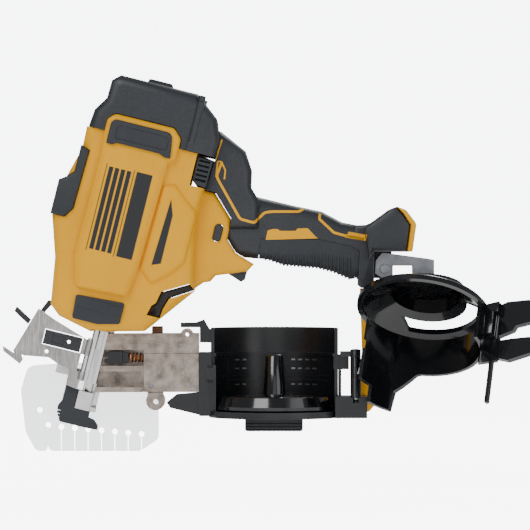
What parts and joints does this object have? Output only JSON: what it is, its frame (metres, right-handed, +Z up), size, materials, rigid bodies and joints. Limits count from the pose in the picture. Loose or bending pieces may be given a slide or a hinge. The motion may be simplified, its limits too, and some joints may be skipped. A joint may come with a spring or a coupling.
{
  "type": "cordless coil nailer",
  "caption": "Battery driven coil roofing nailer with a leaning drive unit, looped grip, round coil magazine with its cover swung open, and an open feed door at the nose.",
  "frame": {"origin": "centre of the grip, on the tool's middle plane", "axes": "+X from the nose to the back of the handle, +Y to the tool's right side, +Z up from the magazine to the motor"},
  "size_m": [0.445, 0.1539, 0.315],
  "materials": {
    "yellow_plastic": "satin moulded plastic",
    "black_plastic": "fine texture",
    "rubber": "matt overmould",
    "satin_black": "satin",
    "gloss_black": "gloss",
    "cast_metal": "mottled casting",
    "brushed_steel": "brushed",
    "chrome": "polished",
    "zinc": "zinc plated",
    "copper": "copper coloured wire",
    "bronze": "brown anodised, knurled",
    "clear_guard": "clear polycarbonate",
    "board": "circuit board"
  },
  "bodies": {
    "frame": {"housing_left": "yellow_plastic", "housing_right": "yellow_plastic", "foot_rim": "yellow_plastic", "magazine_bracket": "yellow_plastic", "motor_cap": "black_plastic", "door_stop": "black_plastic", "cap_screw_front_left": "black_plastic", "cap_screw_rear_left": "black_plastic", "cap_screw_front_right": "black_plastic", "cap_screw_rear_right": "black_plastic", "handle_left": "black_plastic", "handle_right": "black_plastic", "vent_grille": "rubber", "top_bumper_left": "rubber", "top_bumper_right": "rubber", "lower_bumper_left": "rubber", "lower_bumper_right": "rubber", "front_guard_left": "rubber", "front_guard_right": "rubber", "lower_guard": "rubber", "end_bumper": "rubber", "grip_sleeve": "rubber", "canister_foot": "rubber", "terminal_block": "satin_black", "trigger_switch": "satin_black", "canister_body": "satin_black", "feed_block": "cast_metal", "feed_cover_plate": "cast_metal", "drive_frame": "cast_metal", "flywheel_bearing": "brushed_steel", "nosepiece": "chrome", "feed_door_pin": "chrome", "guide_rod_left": "chrome", "guide_rod_right": "chrome", "motor_shaft": "chrome", "cover_hinge_pin": "chrome", "hook_bolt": "zinc", "motor_stator": "copper", "solenoid": "copper", "debris_shield": "clear_guard", "control_board": "board"},
    "trigger": {"trigger": "black_plastic"},
    "trigger_lock": {"trigger_lock": "black_plastic"},
    "contact_trip": {"contact_arm": "chrome", "no_mar_tip": "rubber"},
    "driver": {"driver_blade": "chrome"},
    "flywheel": {"flywheel": "chrome"},
    "pinch_carrier": {"solenoid_plunger": "brushed_steel"},
    "pinch_roller": {"pinch_roller": "chrome"},
    "feed_pawl": {"feed_pawl": "satin_black", "feed_spring": "copper"},
    "feed_door": {"feed_door": "brushed_steel"},
    "door_latch": {"door_latch": "black_plastic"},
    "check_pawl": {"check_pawl": "black_plastic"},
    "depth_wheel": {"depth_wheel": "bronze"},
    "canister_cover": {"canister_cover": "gloss_black"},
    "nail_platform": {"nail_platform": "gloss_black"},
    "stall_release": {"stall_release": "black_plastic"},
    "rafter_hook": {"rafter_hook": "zinc"}
  },
  "joints": [
    {"name": "trigger_pull", "type": "slide", "parent": "frame", "child": "trigger", "axis": [0.2419, 0, 0.9703], "range_m": [0, 0.005], "stiffness_N_per_m": 400, "springref_m": -0.004},
    {"name": "trigger_lock_push", "type": "slide", "parent": "frame", "child": "trigger_lock", "axis": [0, 1, 0], "range_m": [-0.003, 0.003]},
    {"name": "contact_trip_press", "type": "slide", "parent": "frame", "child": "contact_trip", "axis": [0.2419, 0, 0.9703], "range_m": [0, 0.007], "stiffness_N_per_m": 600, "springref_m": -0.012},
    {"name": "driver_stroke", "type": "slide", "parent": "frame", "child": "driver", "axis": [-0.2419, 0, -0.9703], "range_m": [0, 0.06], "stiffness_N_per_m": 150, "springref_m": -0.04},
    {"name": "flywheel_spin", "type": "hinge", "parent": "frame", "child": "flywheel", "pos_m": [-0.12526, 0, 0.02249], "axis": [0, 1, 0], "continuous": true},
    {"name": "pinch_engage", "type": "slide", "parent": "frame", "child": "pinch_carrier", "axis": [0.9703, 0, -0.2419], "range_m": [0, 0.002], "stiffness_N_per_m": 800, "springref_m": -0.004},
    {"name": "pinch_roller_spin", "type": "hinge", "parent": "pinch_carrier", "child": "pinch_roller", "pos_m": [-0.1602, 0, 0.0312], "axis": [0, 1, 0], "continuous": true},
    {"name": "feed_pawl_travel", "type": "slide", "parent": "frame", "child": "feed_pawl", "axis": [1, 0, 0], "range_m": [0, 0.008], "stiffness_N_per_m": 300, "springref_m": -0.004},
    {"name": "feed_door_swing", "type": "hinge", "parent": "frame", "child": "feed_door", "pos_m": [-0.19043, -0.0113, -0.10246], "axis": [0.2419, 0, 0.9703], "range_deg": [0, 178]},
    {"name": "door_latch_lift", "type": "hinge", "parent": "feed_door", "child": "door_latch", "pos_m": [-0.23735, -0.005, -0.06994], "axis": [0, 1, 0], "range_deg": [0, 35]},
    {"name": "check_pawl_rock", "type": "hinge", "parent": "feed_door", "child": "check_pawl", "pos_m": [-0.22396, -0.0113, -0.08276], "axis": [0.2419, 0, 0.9703], "range_deg": [0, 8], "stiffness_Nm_per_rad": 0.05, "springref_deg": -5.73},
    {"name": "depth_wheel_turn", "type": "hinge", "parent": "frame", "child": "depth_wheel", "pos_m": [-0.13, 0, -0.0794], "axis": [1, 0, 0], "continuous": true},
    {"name": "cover_swing", "type": "hinge", "parent": "frame", "child": "canister_cover", "pos_m": [0.036, -0.018, -0.111], "axis": [0, 0.2756, 0.9613], "range_deg": [-150, 0]},
    {"name": "platform_height", "type": "slide", "parent": "frame", "child": "nail_platform", "axis": [0, 0, 1], "range_m": [0, 0.02]},
    {"name": "stall_release_slide", "type": "slide", "parent": "frame", "child": "stall_release", "axis": [0.9703, 0, -0.2419], "range_m": [0, 0.005]},
    {"name": "rafter_hook_swing", "type": "hinge", "parent": "frame", "child": "rafter_hook", "pos_m": [0.061, 0.0055, -0.026], "axis": [0, 1, 0], "range_deg": [0, 90]}
  ]
}
